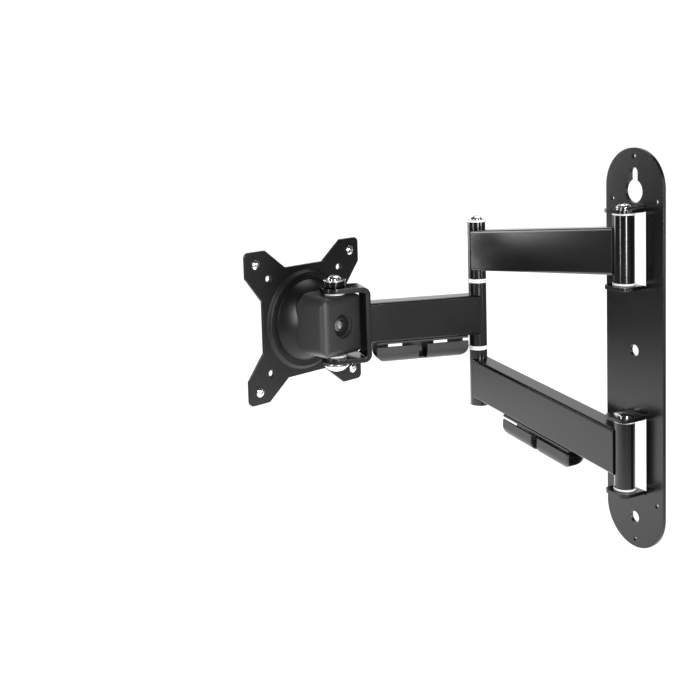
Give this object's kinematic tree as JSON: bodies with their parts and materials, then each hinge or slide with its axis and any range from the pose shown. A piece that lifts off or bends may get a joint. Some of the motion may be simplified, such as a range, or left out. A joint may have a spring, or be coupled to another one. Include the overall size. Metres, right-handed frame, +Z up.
{
  "type": "full motion tv wall mount",
  "caption": "Articulated wall mount for a small flat screen: round-ended wall plate, linked inner arms, extension arm, swivel head with tilting dome and turning screen plate.",
  "frame": {"origin": "centre of the middle wall screw hole in the wall plate's back face, which lies on the wall", "axes": "+X right as seen from the room, +Y into the wall, +Z up; the mount reaches out along -Y"},
  "size_m": [0.2827, 0.1926, 0.275],
  "materials": {
    "black_powder_coat": "satin black powder coat",
    "textured_black": "fine textured black powder coat",
    "cast_black": "satin painted casting",
    "bright_steel": "nickel plated steel",
    "white_nylon": "natural nylon",
    "black_plastic": "moulded black plastic"
  },
  "bodies": {
    "wall_mount": {"wall_plate": "black_powder_coat", "upper_pivot_bolt": "bright_steel", "upper_pivot_screw": "bright_steel", "lower_pivot_bolt": "bright_steel", "lower_pivot_screw": "bright_steel"},
    "inner_arms": {"upper_arm_tube": "black_powder_coat", "upper_wall_barrel": "black_powder_coat", "upper_elbow_barrel": "black_powder_coat", "lower_arm_tube": "black_powder_coat", "lower_wall_barrel": "black_powder_coat", "lower_elbow_barrel": "black_powder_coat", "wall_bushes": "white_nylon", "elbow_bushes": "white_nylon", "elbow_shaft": "bright_steel", "elbow_cap_screws": "bright_steel", "lower_cable_clip": "black_plastic", "lower_clip_screws": "bright_steel"},
    "extension_arm": {"extension_tube": "black_powder_coat", "extension_barrel": "black_powder_coat", "extension_bushes": "white_nylon", "extension_cable_clip": "black_plastic", "extension_clip_screws": "bright_steel", "u_bracket": "black_powder_coat"},
    "head": {"head_block": "cast_black", "head_top_screw": "bright_steel", "head_top_washer": "bright_steel", "head_spacer_ring": "black_plastic", "head_bottom_screw": "bright_steel", "head_thrust_washers": "white_nylon", "clamp_bolt": "bright_steel", "clamp_disc_springs": "bright_steel", "clamp_cup_washer": "bright_steel", "clamp_nut": "bright_steel"},
    "dome": {"tilt_dome": "cast_black", "dome_retaining_ring": "bright_steel", "dome_ring_screws": "bright_steel"},
    "screen_carrier": {"screen_plate": "textured_black", "screen_plate_washer": "white_nylon", "screen_screws": "bright_steel"}
  },
  "joints": [
    {"name": "wall_swivel", "type": "hinge", "parent": "wall_mount", "child": "inner_arms", "pos_m": [0, -0.0115, 0], "axis": [0, 0, 1], "range_deg": [0, 180]},
    {"name": "elbow_swivel", "type": "hinge", "parent": "inner_arms", "child": "extension_arm", "pos_m": [-0.1665, -0.0115, 0], "axis": [0, 0, -1], "range_deg": [-90.5, 164.5]},
    {"name": "head_swivel", "type": "hinge", "parent": "extension_arm", "child": "head", "pos_m": [-0.19803, -0.12521, 0], "axis": [0, 0, 1], "range_deg": [-30, 150]},
    {"name": "screen_tilt", "type": "hinge", "parent": "head", "child": "dome", "pos_m": [-0.25089, -0.13888, 0], "axis": [0.2504, -0.9681, 0], "range_deg": [-15, 15]},
    {"name": "screen_roll", "type": "hinge", "parent": "dome", "child": "screen_carrier", "pos_m": [-0.23153, -0.13387, 0], "axis": [-0.9681, -0.2504, 0], "range_deg": [-180, 180]}
  ]
}
